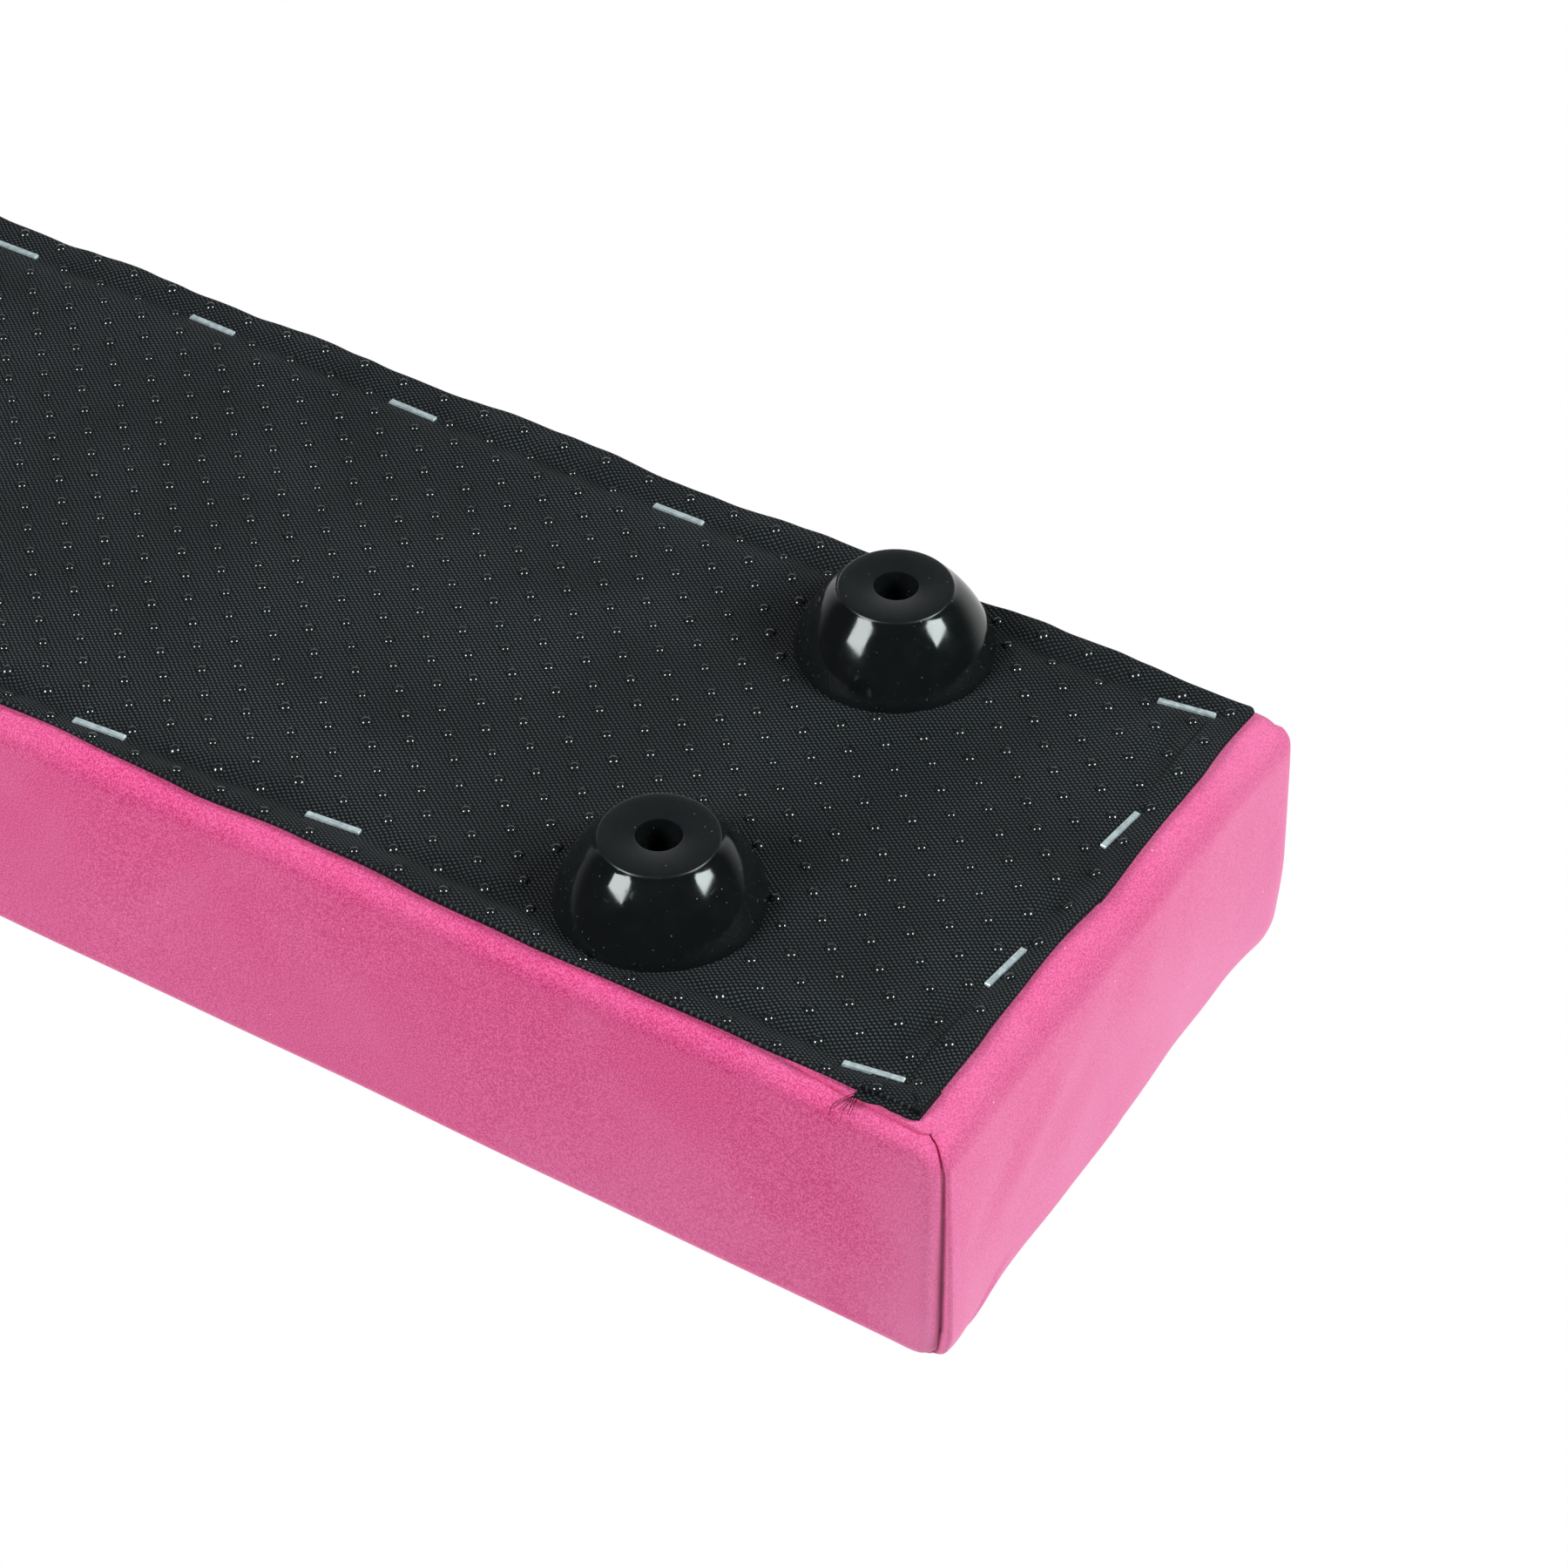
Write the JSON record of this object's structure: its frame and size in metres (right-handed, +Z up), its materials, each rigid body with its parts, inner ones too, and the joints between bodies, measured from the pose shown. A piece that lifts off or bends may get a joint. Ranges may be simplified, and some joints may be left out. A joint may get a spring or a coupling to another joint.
{
  "type": "floor balance beam",
  "caption": "Low padded floor balance beam: suede cover over foam and a timber board, dotted non-slip sheet stapled underneath, domed rubber feet.",
  "frame": {"origin": "on the floor, at the middle of the beam's length and width", "axes": "+Z up, out of the walking face; +X along the beam towards its front end; +Y towards its left side, so that it stands on its feet"},
  "size_m": [1.2192, 0.1492, 0.0805],
  "materials": {
    "pink_suede": "matt brushed nap, hot pink",
    "grip_fabric": "coarse plain weave, charcoal",
    "grip_dots": "glossy moulded dots on the grip sheet",
    "foot_rubber": "glossy moulded rubber, slightly dusty",
    "staple_wire": "bright zinc-plated flat wire",
    "screw_steel": "zinc-plated steel",
    "core_wood": "dressed softwood",
    "foam": "closed-cell foam padding"
  },
  "bodies": {
    "root": {"core_board": "core_wood", "top_pad": "foam", "side_pad_left": "foam", "side_pad_right": "foam", "end_pad_front": "foam", "end_pad_back": "foam", "suede_cover": "pink_suede", "grip_sheet": "grip_fabric", "cover_staples_left": "staple_wire", "cover_staples_right": "staple_wire", "cover_staples_front": "staple_wire", "cover_staples_back": "staple_wire", "sheet_staples_left": "staple_wire", "sheet_staples_right": "staple_wire", "sheet_staples_front": "staple_wire", "sheet_staples_back": "staple_wire", "foot_front_left": "foot_rubber", "foot_washer_front_left": "screw_steel", "foot_screw_front_left": "screw_steel", "foot_front_right": "foot_rubber", "foot_washer_front_right": "screw_steel", "foot_screw_front_right": "screw_steel", "foot_back_left": "foot_rubber", "foot_washer_back_left": "screw_steel", "foot_screw_back_left": "screw_steel", "foot_back_right": "foot_rubber", "foot_washer_back_right": "screw_steel", "foot_screw_back_right": "screw_steel"}
  },
  "joints": []
}
